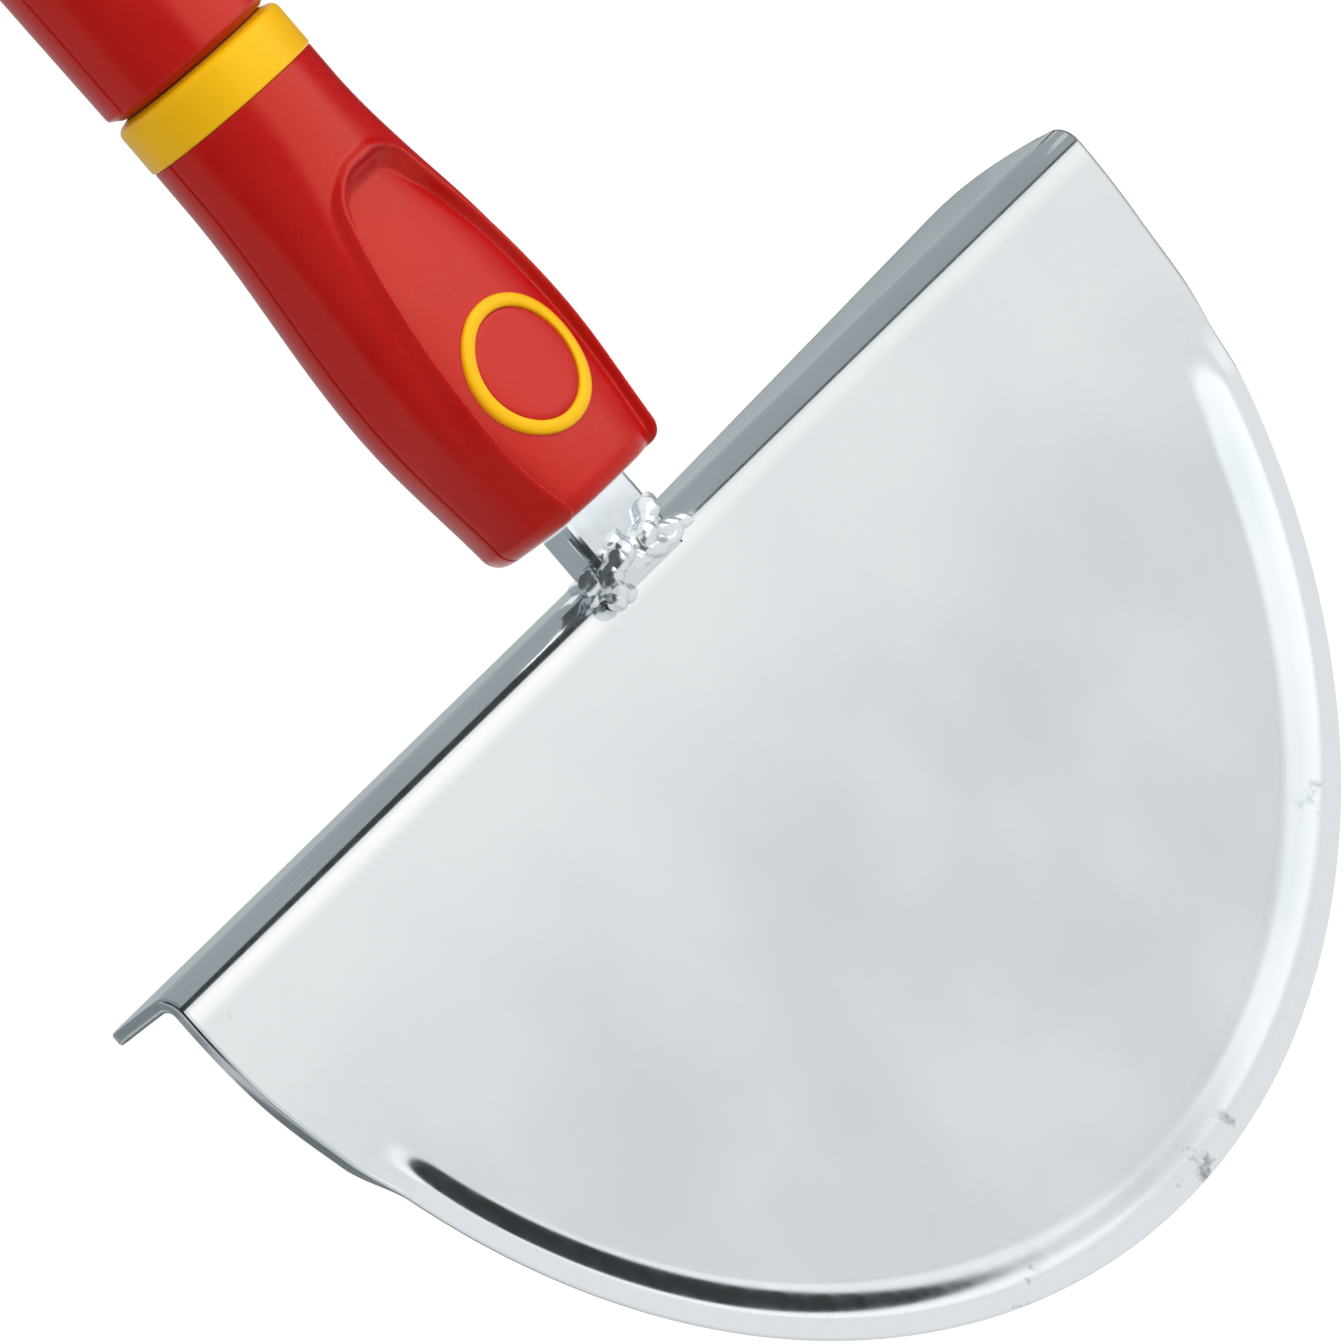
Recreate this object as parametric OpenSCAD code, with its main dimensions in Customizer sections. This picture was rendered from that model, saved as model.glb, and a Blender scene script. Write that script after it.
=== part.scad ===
// Half moon lawn edger head with a quick change handle socket.
// Millimetres. The origin is the centre of the socket's mouth, where the bore's wall begins,
// +Z runs up the handle and -Y is the front of the blade.

/* [Blade] */
// Radius of the cutting arc
blade_r = 112.5; // [95:0.5:125]
// Thickness of the pressed sheet
sheet_t = 2; // [1.6:0.1:2.6]
// How far the rim is stepped forward of the plate
rim_step = 2; // [1:0.1:3]
// Radial width of the flat band along the edge
rim_band = 3.5; // [2:0.1:6]
// Radial width of the step's slope
step_w = 5.5; // [4:0.1:8]
// Depth below the fold at which the step begins
step_from = 24; // [15:0.5:30]
// Depth over which the step comes to its full height
step_run = 19; // [12:0.5:30]
// Thickness left at the cutting edge
edge_t = 0.5; // [0.3:0.1:1.2]
// Radial width of the ground bevel behind the edge
bevel_w = 7; // [4:0.5:12]
// Outer radius of the fold
fold_r = 3.5; // [3:0.1:5]
// Depth of the foot tread from the blade's face to its rear edge
tread_d = 15.5; // [12:0.5:22]
// Radius of the tread's rear corners
tread_corner_r = 5; // [2:0.5:7]
// How far the blade's face lies in front of the handle axis
blade_set = 2.4; // [1:0.1:3.5]

/* [Tang] */
// Width of the tang
tang_w = 15.5; // [14:0.1:17]
// Thickness of the tang
tang_t = 6.1; // [5:0.1:6.5]
// How far the tang's middle lies in front of the handle axis
tang_set = 1.65; // [1:0.05:2]
// Radius of the tang's long edges
tang_edge_r = 1.3; // [0.5:0.1:2]
// Width of the shank inside the tube
shank_w = 11.2; // [9:0.1:11.6]
// Height of the shank's shoulders above the arc's centre
shoulder_h = 36; // [32:0.5:37]
// Length of the shank inside the tube
shank_len = 30; // [29:0.5:33]
// How far the tang's heel reaches below the top of the tread
heel_drop = 4.6; // [3.6:0.1:6]

/* [Weld] */
// Size of the bead's lumps
bead_r = 2.6; // [2.2:0.1:3]
// Half length of the front bead
bead_half = 9.6; // [8:0.1:11]
// Radius of the fillet bead behind the tang
fillet_r = 2; // [1.5:0.1:2.6]
// How far behind the blade's face the rear bead begins
weld_meet = 2.5; // [2.5:0.1:3]

/* [Grip] */
// Height of the grip's lower end above the arc's centre
grip_from = 12.3; // [10:0.1:14]
// Length of the grip's shells under the collar
grip_len = 70.3; // [69:0.1:76]
// Half width at the top of the grip
grip_half = 13.6; // [13.2:0.1:14.2]
// How much wider each side swells
grip_swell = 3.1; // [2:0.1:4]
// Depth of the grip in front of the axis at the top
grip_front = 13.7; // [13.2:0.1:14.2]
// How much the front flattens behind the thumb
grip_flat = 1; // [0.4:0.1:1.2]
// Depth of the grip behind the axis at the top
grip_rear = 13.5; // [13.2:0.1:14.2]
// How much the rear swells
rear_swell = 1.2; // [0.4:0.1:2.5]
// Height of the widest place above the arc's centre
wide_h = 38.5; // [34:0.5:44]
// Distance of the seam behind the axis
seam_set = 2; // [1.8:0.1:3]
// Rounding of the lower end
grip_end_r = 2.6; // [1.5:0.1:3.5]
// Radius of the neck inside the collar
neck_r = 11.6; // [11.2:0.1:12]
// Depth of the fine joint under the collar
joint_gap = 0.3; // [0.2:0.05:0.5]
// Inner radius of the hollow round the tube
hollow_r = 10.8; // [10.4:0.1:11]

/* [Thumb panel] */
// Height of the panel's arch above the arc's centre
panel_top = 66.7; // [60:0.1:72]
// Greatest half width of the panel
panel_half = 13; // [11:0.1:13.4]
// Depth of the panel below the grip's face
panel_in = 0.7; // [0.3:0.1:0.9]
// Height of the ridge along the panel
ridge_h = 0.35; // [0.1:0.05:0.6]
// Height of the badge's middle above the arc's centre
badge_h = 30.8; // [28:0.1:34]
// Outer radius of the badge
badge_r = 10.7; // [9:0.1:11]
// Width of the badge's ring
badge_band = 2.1; // [1.5:0.1:3]
// How far the badge is let into the panel at its middle
badge_in = 2; // [1.8:0.1:2.2]
// How far the ring stands off the panel
badge_out = 0.7; // [0.3:0.1:1]

/* [Collar and buffer] */
// Outer radius of the collar
collar_r = 13.8; // [13.5:0.05:14.4]
// Height of the collar
collar_h = 7.7; // [6:0.1:9]
// Rounding of the collar's edges
collar_edge_r = 0.9; // [0.4:0.1:1.1]
// Outer radius of the rubber buffer
buffer_r = 12.7; // [12.5:0.05:13]
// Thickness of the rubber buffer
buffer_t = 1.4; // [1:0.1:2]

/* [Socket tube] */
// Radius of the bore for the handle's plug
bore_r = 7.5; // [7.4:0.05:7.7]
// Wall of the tube
tube_wall = 1.5; // [1.4:0.05:1.7]
// Length of the close fitting part of the bore
guide_len = 28; // [24:0.5:28.5]
// How much wider the bore is below it
relief = 0.2; // [0.1:0.05:0.25]
// How far the tube stands above the pulled sleeve
tube_over = 1.3; // [0.5:0.1:4]
// Chamfer of the bore's mouth
mouth_cut = 0.6; // [0.3:0.1:0.9]
// Thickness of the retaining ring
ring_t = 1.2; // [1:0.1:1.5]
// Depth of the ring's groove
groove_in = 0.6; // [0.4:0.05:0.7]

/* [Sleeve and lock] */
// Length of the release sleeve
sleeve_len = 34; // [33:0.5:40]
// Outer radius of the sleeve's lower end
sleeve_r = 13.85; // [13.6:0.05:14.3]
// How much wider the sleeve is above its middle
sleeve_flare = 0.4; // [0.2:0.05:0.8]
// How far the pull rim stands out
rim_out = 1.1; // [0.5:0.1:1.6]
// Travel of the sleeve
sleeve_travel = 6; // [5:0.1:6.5]
// Radius of the lock balls
ball_r = 2; // [1.9:0.05:2.1]
// How far a ball reaches into the bore
lock_in = 0.85; // [0.6:0.05:0.9]
// Height of the balls above the sleeve's lower end
ball_h = 10; // [9.5:0.1:10.4]
// Radius of the spring's wire
wire_r = 0.6; // [0.5:0.05:0.7]
// Turns of the spring
spring_turns = 4.5; // [3.5:0.5:5]
// Thickness of the spring's washer
washer_t = 0.8; // [0.6:0.1:1]

/* [Fasteners] */
// Radius of the screws' shanks
screw_r = 2; // [1.8:0.05:2.1]
// Radius of the screws' heads
head_r = 3.6; // [3.2:0.1:3.8]
// Height of the screws' heads
head_t = 2.2; // [1.8:0.1:2.4]
// Height of the lower screw above the shank's shoulders
screw_low = 11; // [10.5:0.1:12]
// Distance between the two screws
screw_apart = 14; // [13.6:0.1:14.5]
// Radius of the rivet's head
rivet_head_r = 3.2; // [3:0.1:3.4]

/* [Fits] */
// Clearance of seated pieces
seat_fit = 0.03; // [0.02:0.01:0.06]
// Running clearance of the sleeve on the tube
guide_fit = 0.06; // [0.05:0.01:0.1]
// Clearance between a ball and its ramp
ball_gap = 0.1; // [0.08:0.01:0.15]

/* [Hidden] */
$fn = 64;
tube_r = bore_r + tube_wall;
// Heights above the arc's centre
grip_top = grip_from + grip_len;
collar_top = grip_top + collar_h;
sleeve_from = collar_top + buffer_t;
sleeve_top = sleeve_from + sleeve_len;
mouth_h = sleeve_top + sleeve_travel + tube_over;
arc_z = mouth_cut - mouth_h;
tread_top = fold_r;
shank_top = shoulder_h + shank_len;
ball_at = sleeve_from + ball_h;
// The blade's face and the fold's middle line
face_y = -blade_set;
fold_y = face_y + fold_r;
tang_y = -tang_set;
// The lock's ramp
ball_run = lock_in + 0.05;
ball_c = bore_r + ball_r - lock_in;
ramp = ball_run / sleeve_travel;
ramp_len = sqrt(1 + ramp * ramp);
ramp_low = ball_h - sleeve_travel - 1.2;
ramp_top = ball_h + 3.4;
land_top = ramp_top + 3.4;
ramp_mid_r = ball_c + (ball_r + ball_gap) * ramp_len;
// The spring's room between the tube and the sleeve
chamber_r = sleeve_r - 1.95;
spring_r = (tube_r + chamber_r) / 2;
ring_low = sleeve_len - 3;
washer_low = ring_low - washer_t;
spring_from = sleeve_from + land_top;
spring_len = washer_low - land_top;
// The screws' and the rivet's heights, and where the heads sit
screw_1 = shoulder_h + screw_low;
screw_2 = screw_1 + screw_apart;
rivet_at = (screw_1 + screw_2) / 2;
head_y = hollow_r - 0.6;
screw_end = -(grip_front - grip_flat - panel_in - 1.3);
seat_y = badge_in + panel_in + grip_flat - grip_front;
hollow_from = badge_h + badge_r + 1.5;
hollow_to = grip_top - 6.2;
// The badge's ring
badge_mid_r = badge_r - badge_band;
// Radial stations of the blade's sheet
step_r = blade_r - rim_band - step_w;
band_r = blade_r - rim_band;
sheet_r = concat(
  [for (k = [1 : 3]) step_r * k / 3.3],
  [for (k = [0 : 6]) step_r + step_w * k / 6],
  [for (k = [1 : 5]) band_r + rim_band * (1 - pow(1 - k / 5, 2))]
);
sheet_n = len(sheet_r);
sheet_m = 60;
fold_n = 8;

// Smooth step from 0 at a to 1 at b
function ease(a, b, v) = let (t = min(1, max(0, (v - a) / (b - a)))) t * t * (3 - 2 * t);
// Two triangles of a four sided patch
function patch(a, b, c, d) = [[a, b, c], [a, c, d]];
// All the lists in a list, joined
function joined(l) = [for (a = l) for (b = a) b];

// Blade sheet
function step_at(r, q) = ease(step_r, band_r, r) * ease(step_from, step_from + step_run, r * sin(q));
function thick_at(r, q) = sheet_t - (sheet_t - edge_t)
  * ease(step_from, step_from + step_run, r * sin(q))
  * max(0, (r - blade_r + bevel_w) / bevel_w);
function sheet_front(r, q) = [r * cos(q), face_y - rim_step * step_at(r, q), arc_z - r * sin(q)];
function sheet_back(r, q) = sheet_front(r, q) + [0, thick_at(r, q), 0];
// Depth of the tread at one place across the blade
function tread_at(x) = let (c = max(0, abs(x) - (blade_r - tread_corner_r)))
  tread_d - tread_corner_r + sqrt(max(0, tread_corner_r * tread_corner_r - c * c));
// Tread and fold at station k, rad is the fold's radius on the outer or the inner face
function tread_pt(x, k, rad) = k <= fold_n
  ? [x, fold_y - rad * cos(90 * k / fold_n), arc_z + rad * sin(90 * k / fold_n)]
  : [x, fold_y + (face_y + tread_at(x) - fold_y) * (k - fold_n) / 2, arc_z + rad];
tread_n = fold_n + 2;
tread_x = [for (q = [-sheet_n : sheet_n]) q < 0 ? -sheet_r[-q - 1] : q > 0 ? sheet_r[q - 1] : 0];
half_count = 1 + sheet_n * (sheet_m + 1);
row_count = 2 * sheet_n + 1;
// Number of a point of the half disc, side 0 front and 1 back
function disc_id(side, i, j) = side * half_count + 1 + i * (sheet_m + 1) + j;
function line_id(side, q) = q < sheet_n ? disc_id(side, sheet_n - 1 - q, sheet_m)
  : q == sheet_n ? side * half_count : disc_id(side, q - sheet_n - 1, 0);
function tread_id(side, k, q) = k == 0 ? line_id(side, q)
  : 2 * half_count + side * tread_n * row_count + (k - 1) * row_count + q;

module blade() {
  front = concat([[0, face_y, arc_z]],
    [for (r = sheet_r) for (j = [0 : sheet_m]) sheet_front(r, 180 * j / sheet_m)]);
  back = concat([[0, face_y + sheet_t, arc_z]],
    [for (r = sheet_r) for (j = [0 : sheet_m]) sheet_back(r, 180 * j / sheet_m)]);
  top = [for (k = [1 : tread_n]) for (x = tread_x) tread_pt(x, k, fold_r)];
  under = [for (k = [1 : tread_n]) for (x = tread_x) tread_pt(x, k, fold_r - sheet_t)];
  n = sheet_n - 1;
  w = row_count - 1;
  faces = concat(
    [for (j = [0 : sheet_m - 1]) [0, disc_id(0, 0, j), disc_id(0, 0, j + 1)]],
    [for (j = [0 : sheet_m - 1]) [half_count, disc_id(1, 0, j + 1), disc_id(1, 0, j)]],
    joined([for (i = [0 : n - 1]) for (j = [0 : sheet_m - 1])
      patch(disc_id(0, i, j), disc_id(0, i + 1, j), disc_id(0, i + 1, j + 1), disc_id(0, i, j + 1))]),
    joined([for (i = [0 : n - 1]) for (j = [0 : sheet_m - 1])
      patch(disc_id(1, i, j), disc_id(1, i, j + 1), disc_id(1, i + 1, j + 1), disc_id(1, i + 1, j))]),
    joined([for (j = [0 : sheet_m - 1])
      patch(disc_id(0, n, j), disc_id(1, n, j), disc_id(1, n, j + 1), disc_id(0, n, j + 1))]),
    joined([for (k = [0 : tread_n - 1]) for (q = [0 : w - 1])
      patch(tread_id(0, k, q), tread_id(0, k + 1, q), tread_id(0, k + 1, q + 1), tread_id(0, k, q + 1))]),
    joined([for (k = [0 : tread_n - 1]) for (q = [0 : w - 1])
      patch(tread_id(1, k, q), tread_id(1, k, q + 1), tread_id(1, k + 1, q + 1), tread_id(1, k + 1, q))]),
    joined([for (q = [0 : w - 1])
      patch(tread_id(0, tread_n, q), tread_id(1, tread_n, q),
        tread_id(1, tread_n, q + 1), tread_id(0, tread_n, q + 1))]),
    joined([for (k = [0 : tread_n - 1])
      patch(tread_id(0, k, 0), tread_id(1, k, 0), tread_id(1, k + 1, 0), tread_id(0, k + 1, 0))]),
    joined([for (k = [0 : tread_n - 1])
      patch(tread_id(0, k, w), tread_id(0, k + 1, w), tread_id(1, k + 1, w), tread_id(1, k, w))])
  );
  color("#c9ced2") polyhedron(points = concat(front, back, top, under), faces = faces, convexity = 6);
}

// The fold and the plate as plain forms, for pieces that sit on them
module blade_seat() {
  translate([0, fold_y, arc_z]) rotate([0, 90, 0]) cylinder(r = fold_r, h = 60, center = true);
  translate([-30, fold_y, arc_z - 20]) cube([60, 30, 20 + tread_top]);
  translate([-30, face_y, arc_z - 20]) cube([60, 30, 20]);
}

// Cross section of the tang with rounded edges
module tang_outline(w, more) {
  translate([0, tang_y]) {
    square([w + 2 * more - 2 * tang_edge_r, tang_t + 2 * more], center = true);
    square([w + 2 * more, tang_t + 2 * more - 2 * tang_edge_r], center = true);
    for (sx = [-1, 1]) for (sy = [-1, 1])
      translate([sx * (w / 2 + more - tang_edge_r), sy * (tang_t / 2 + more - tang_edge_r)])
        circle(r = tang_edge_r, $fn = 32);
  }
}

// A round bar along Y
module cross_bar(h, r, from_y, to_y) {
  translate([0, from_y, arc_z + h]) rotate([-90, 0, 0]) cylinder(r = r, h = to_y - from_y);
}

module tang_body() {
  translate([0, 0, arc_z + tread_top - heel_drop])
    linear_extrude(shoulder_h - tread_top + heel_drop) tang_outline(tang_w, 0);
  translate([0, 0, arc_z + shoulder_h]) linear_extrude(shank_len) tang_outline(shank_w, 0);
}

module tang() {
  color("#b9bec2") difference() {
    tang_body();
    blade_seat();
    for (h = [screw_1, rivet_at, screw_2]) cross_bar(h, screw_r + seat_fit, -20, 20);
  }
}

// Lumps of the front bead, from left to right
bead_n = 8;
function bead_x(k) = -bead_half + 2 * bead_half * k / (bead_n - 1);
function bead_s(k) = bead_r * (1 + 0.12 * sin(150 * k + 40));
function bead_z(k) = tread_top - 2.4 + 1.2 * sin(97 * k + 20);

module front_weld() {
  color("#a9aeb2") difference() {
    union() {
      for (k = [0 : bead_n - 1])
        translate([bead_x(k), face_y - 0.5, arc_z + bead_z(k)]) sphere(r = bead_s(k), $fn = 24);
      for (k = [2 : bead_n - 3])
        translate([bead_x(k), tang_y - tang_t / 2 + 1.1, arc_z + tread_top + 1.1])
          sphere(r = bead_s(k) * 0.9, $fn = 24);
    }
    blade_seat();
    translate([0, 0, arc_z - 10]) linear_extrude(60) tang_outline(tang_w, 0);
  }
}

module rear_weld() {
  low = arc_z + tread_top;
  side = tang_w / 2;
  rear = tang_y + tang_t / 2;
  front = face_y + weld_meet;
  color("#a9aeb2") difference() {
    union() {
      for (s = [-1, 1]) translate([s * side, front, low - 0.6]) rotate([-90, 0, 0])
        cylinder(r = fillet_r, h = rear - front, $fn = 32);
      translate([-side, rear, low - 0.6]) rotate([0, 90, 0]) cylinder(r = fillet_r, h = 2 * side, $fn = 32);
      for (s = [-1, 1]) translate([s * side, rear, low - 0.6]) sphere(r = fillet_r, $fn = 32);
    }
    blade_seat();
    translate([0, 0, arc_z - 10]) linear_extrude(60) tang_outline(tang_w, 0);
    translate([-30, face_y - 20, arc_z - 20]) cube([60, 20 + weld_meet, 60]);
  }
}

module socket_tube() {
  ring_at = arc_z + sleeve_from + ring_low;
  color("#b4b9bd") difference() {
    translate([0, 0, arc_z + shoulder_h]) cylinder(r = tube_r, h = mouth_h - shoulder_h);
    translate([0, 0, -guide_len - 1]) cylinder(r = bore_r, h = guide_len + 2);
    translate([0, 0, arc_z + shoulder_h - 1])
      cylinder(r = bore_r + relief, h = 1 - guide_len - arc_z - shoulder_h);
    cylinder(r1 = bore_r, r2 = bore_r + mouth_cut + 0.1, h = mouth_cut + 0.1);
    translate([0, 0, ring_at]) difference() {
      cylinder(r = tube_r + 1, h = ring_t);
      translate([0, 0, -1]) cylinder(r = tube_r - groove_in, h = ring_t + 2);
    }
    for (h = [screw_1, rivet_at, screw_2]) cross_bar(h, screw_r + seat_fit, -20, 20);
    for (k = [0 : 2]) rotate(120 * k + 90) translate([0, 0, arc_z + ball_at]) rotate([0, 90, 0]) {
      translate([0, 0, ball_c - 0.35]) cylinder(r = ball_r + guide_fit, h = 6);
      translate([0, 0, bore_r - 0.5])
        cylinder(r1 = ball_r - 0.36, r2 = ball_r + guide_fit, h = ball_c - 0.35 - bore_r + 0.5);
    }
  }
}

module tang_rivet() {
  color("#9aa0a4") difference() {
    union() {
      cross_bar(rivet_at, screw_r, -tube_r, tube_r);
      for (s = [-1, 1]) translate([0, s * (tube_r - 0.9), arc_z + rivet_at]) rotate([-90 * s, 0, 0])
        cylinder(r1 = rivet_head_r, r2 = rivet_head_r * 0.6, h = 2.1);
    }
    for (s = [-1, 1]) difference() {
      translate([0, 0, arc_z + rivet_at - 8]) cylinder(r = tube_r, h = 16);
      cross_bar(rivet_at, screw_r, -20, 20);
    }
  }
}

// Form of the grip at one height
function swell(h) = h > wide_h
  ? (1 + cos(180 * min(1, (h - wide_h) / (grip_top - 6 - wide_h)))) / 2
  : (1 + cos(180 * min(1, (wide_h - h) / (1.2 * (wide_h - grip_from))))) / 2;
function end_inset(h) = let (d = grip_end_r - min(grip_end_r, h - grip_from))
  grip_end_r - sqrt(max(0, grip_end_r * grip_end_r - d * d));
function half_at(h) = grip_half + grip_swell * swell(h) - end_inset(h);
function rear_at(h) = grip_rear + rear_swell * swell(h) - end_inset(h);
function front_at(h) = grip_front - grip_flat * ease(grip_top - 3, grip_top - 25, h) - 0.6 * end_inset(h);
function power_at(h) = 2 + 1.2 * ease(grip_top - 4, grip_top - 36, h);
function panel_at(h) = max(2,
  panel_half * (1 - pow((h - badge_h + 1.3) / (h > badge_h - 1.3 ? 51.5 : 41), 2)));
function panel_fade(h) = ease(panel_top, panel_top - 2.6, h);
// The front of the grip without the panel, and the panel's floor
function face_at(x, h) = let (p = power_at(h))
  -front_at(h) * pow(max(0, 1 - pow(min(1, abs(x) / half_at(h)), p)), 1 / p);
function floor_at(x, h) = face_at(x, h) + panel_in * panel_fade(h);
// One point of the front at an angle q from the middle, moved back by d
function front_pt(h, q, d) = let (p = power_at(h))
  [half_at(h) * pow(sin(q), 2 / p), d - front_at(h) * pow(max(0, cos(q)), 2 / p), arc_z + h];
function turned(h, x) = asin(pow(min(0.97, x / half_at(h)), power_at(h) / 2));
// Right half of the front outline, from the seam to the middle
function front_right(h) = let (
    b = panel_at(h),
    qi = turned(h, b - 0.9),
    qb = turned(h, b),
    qo = turned(h, b + 0.9),
    s = asin(seam_set / rear_at(h)),
    f = panel_fade(h))
  concat(
    [for (k = [0 : 1]) let (t = s * (1 - k / 2)) [half_at(h) * cos(t), rear_at(h) * sin(t), arc_z + h]],
    [for (k = [0 : 3]) front_pt(h, 90 + (qo - 90) * k / 4, 0)],
    [front_pt(h, qo, 0), front_pt(h, qb, -ridge_h * f), front_pt(h, qi, panel_in * f)],
    [for (k = [1 : 5]) front_pt(h, qi * (1 - k / 5), panel_in * f)]
  );
function mirrored(l) = [for (k = [len(l) - 1 : -1 : 0]) [-l[k][0], l[k][1], l[k][2]]];
function without_first(l) = [for (k = [1 : len(l) - 1]) l[k]];
function front_section(h) = let (r = front_right(h)) concat(r, without_first(mirrored(r)));
rear_n = 18;
function rear_section(h) = let (s = asin(seam_set / rear_at(h)))
  [for (k = [0 : rear_n]) let (t = 180 - s - (180 - 2 * s) * k / rear_n)
    [half_at(h) * cos(t), rear_at(h) * sin(t), arc_z + h]];
grip_h = concat(
  [for (k = [0 : 4]) grip_from + grip_end_r * (1 - cos(90 * k / 5))],
  [for (k = [0 : 22]) grip_from + grip_end_r + (grip_len - grip_end_r - joint_gap) * k / 22]
);

// A solid through sections that all have the same number of points
module loft(sections) {
  m = len(sections[0]);
  n = len(sections);
  polyhedron(points = joined(sections), convexity = 8, faces = concat(
    joined([for (s = [0 : n - 2]) for (i = [0 : m - 1]) let (k = (i + 1) % m)
      patch(s * m + i, s * m + k, (s + 1) * m + k, (s + 1) * m + i)]),
    [[for (i = [m - 1 : -1 : 0]) i]],
    [[for (i = [0 : m - 1]) (n - 1) * m + i]]
  ));
}

// One shell's part of the neck under the collar, drawn in from its outline
function neck_section(outline, h) = [for (p = outline)
  let (y = p[1] * neck_r / norm([p[0], p[1]]), on_seam = abs(p[1] - seam_set) < 0.001)
  on_seam ? [sign(p[0]) * sqrt(neck_r * neck_r - seam_set * seam_set), seam_set, arc_z + h]
    : [p[0] * neck_r / norm([p[0], p[1]]), y, arc_z + h]];
function with_neck(sections) = let (last = sections[len(sections) - 1])
  concat(sections, [neck_section(last, grip_top), neck_section(last, collar_top)]);

// What the shells leave free inside: tube, tang and the hollow between them
module grip_inside() {
  translate([0, 0, arc_z + shoulder_h]) cylinder(r = tube_r + seat_fit, h = mouth_h);
  translate([0, 0, arc_z]) linear_extrude(shoulder_h + 1) tang_outline(tang_w, seat_fit);
  difference() {
    translate([0, 0, arc_z + hollow_from]) cylinder(r = hollow_r, h = hollow_to - hollow_from);
    for (h = [screw_1, screw_2]) cross_bar(h, head_r + 0.6, -20, 20);
  }
}

module grip_front_shell() {
  color("#c01d1f") difference() {
    loft(with_neck([for (h = grip_h) front_section(h)]));
    grip_inside();
    for (h = [screw_1, screw_2]) cross_bar(h, screw_r + seat_fit, screw_end, 20);
    cross_bar(badge_h, badge_r + seat_fit, -30, seat_y);
    cross_bar(rivet_at, rivet_head_r + 0.3, -hollow_r, 20);
  }
}

module grip_rear_shell() {
  color("#b81b1d") difference() {
    loft(with_neck([for (h = grip_h) rear_section(h)]));
    grip_inside();
    for (h = [screw_1, screw_2]) {
      cross_bar(h, screw_r + seat_fit, -20, 20);
      cross_bar(h, head_r + 0.25, head_y, 30);
    }
    cross_bar(rivet_at, rivet_head_r + 0.3, -20, hollow_r);
  }
}

module screw(h) {
  color("#8d9397") difference() {
    union() {
      cross_bar(h, screw_r, screw_end + seat_fit, head_y + 0.5);
      cross_bar(h, head_r, head_y, head_y + head_t - 0.5);
      translate([0, head_y + head_t - 0.5, arc_z + h]) rotate([-90, 0, 0])
        cylinder(r1 = head_r, r2 = head_r - 0.5, h = 0.5);
    }
    for (a = [0, 90]) translate([0, head_y + head_t, arc_z + h]) rotate([0, a, 0])
      cube([head_r * 1.2, 2.4, 0.8], center = true);
  }
}

module upper_screw() {
  screw(screw_2);
}

module lower_screw() {
  screw(screw_1);
}

// A round inlay in the panel: rows of radius and distance off the panel's floor, and a flat back
badge_n = 48;
function badge_pt(r, q, d) = let (x = r * cos(q), h = badge_h + r * sin(q))
  [x, floor_at(x, h) - d, arc_z + h];
function badge_loop(r, d) = [for (k = [0 : badge_n - 1]) badge_pt(r, 360 * k / badge_n, d)];
function flat_loop(r) = [for (k = [0 : badge_n - 1]) let (q = 360 * k / badge_n)
  [r * cos(q), seat_y, arc_z + badge_h + r * sin(q)]];
module inlay(loops) {
  n = len(loops);
  polyhedron(points = joined(loops), convexity = 6, faces = joined(
    [for (i = [0 : n - 1]) for (k = [0 : badge_n - 1]) let (a = (i + 1) % n, b = (k + 1) % badge_n)
      patch(i * badge_n + k, i * badge_n + b, a * badge_n + b, a * badge_n + k)]));
}

module badge_ring() {
  soft = 0.35;
  low = badge_mid_r + seat_fit;
  color("#e9b824") inlay([
    flat_loop(low), badge_loop(low, badge_out - soft), badge_loop(low + soft, badge_out),
    badge_loop((low + badge_r) / 2, badge_out + 0.1), badge_loop(badge_r - soft, badge_out),
    badge_loop(badge_r, badge_out - soft), flat_loop(badge_r)
  ]);
}

module badge_disc() {
  rows = [for (k = [0 : 5]) badge_mid_r * k / 5];
  last = badge_n * len(rows) - badge_n + 1;
  color("#c02422") polyhedron(convexity = 6,
    points = concat([badge_pt(0, 0, 0.3)],
      joined([for (k = [1 : 5]) badge_loop(rows[k], 0.3)]), flat_loop(badge_mid_r)),
    faces = concat(
      [for (k = [0 : badge_n - 1]) [0, 1 + (k + 1) % badge_n, 1 + k]],
      joined([for (i = [0 : 4]) for (k = [0 : badge_n - 1]) let (b = (k + 1) % badge_n)
        let (lo = 1 + i * badge_n, hi = lo + badge_n)
        patch(lo + k, lo + b, hi + b, hi + k)]),
      [[for (k = [0 : badge_n - 1]) last + k]]
    ));
}

// Points of a rounded corner, middle c, radius r, from angle a to angle b
function corner(c, r, a, b) = [for (k = [0 : 5]) let (t = a + (b - a) * k / 5)
  [c[0] + r * cos(t), c[1] + r * sin(t)]];

module collar_ring() {
  r = collar_edge_r;
  color("#e9b824") translate([0, 0, arc_z + grip_top]) rotate_extrude() polygon(concat(
    [[neck_r + seat_fit, 0]],
    corner([collar_r - 0.4, 0.4], 0.4, -90, 0),
    corner([collar_r - r, collar_h - r], r, 0, 90),
    [[neck_r + seat_fit, collar_h]]
  ));
}

module buffer_ring() {
  color("#26282a") translate([0, 0, arc_z + collar_top]) difference() {
    cylinder(r = buffer_r, h = buffer_t);
    translate([0, 0, -1]) cylinder(r = tube_r + guide_fit, h = buffer_t + 2);
  }
}

// Radius of the ramp at a height above the sleeve's lower end
function ramp_at(h) = ramp_mid_r - ramp * (h - ball_h);

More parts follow.
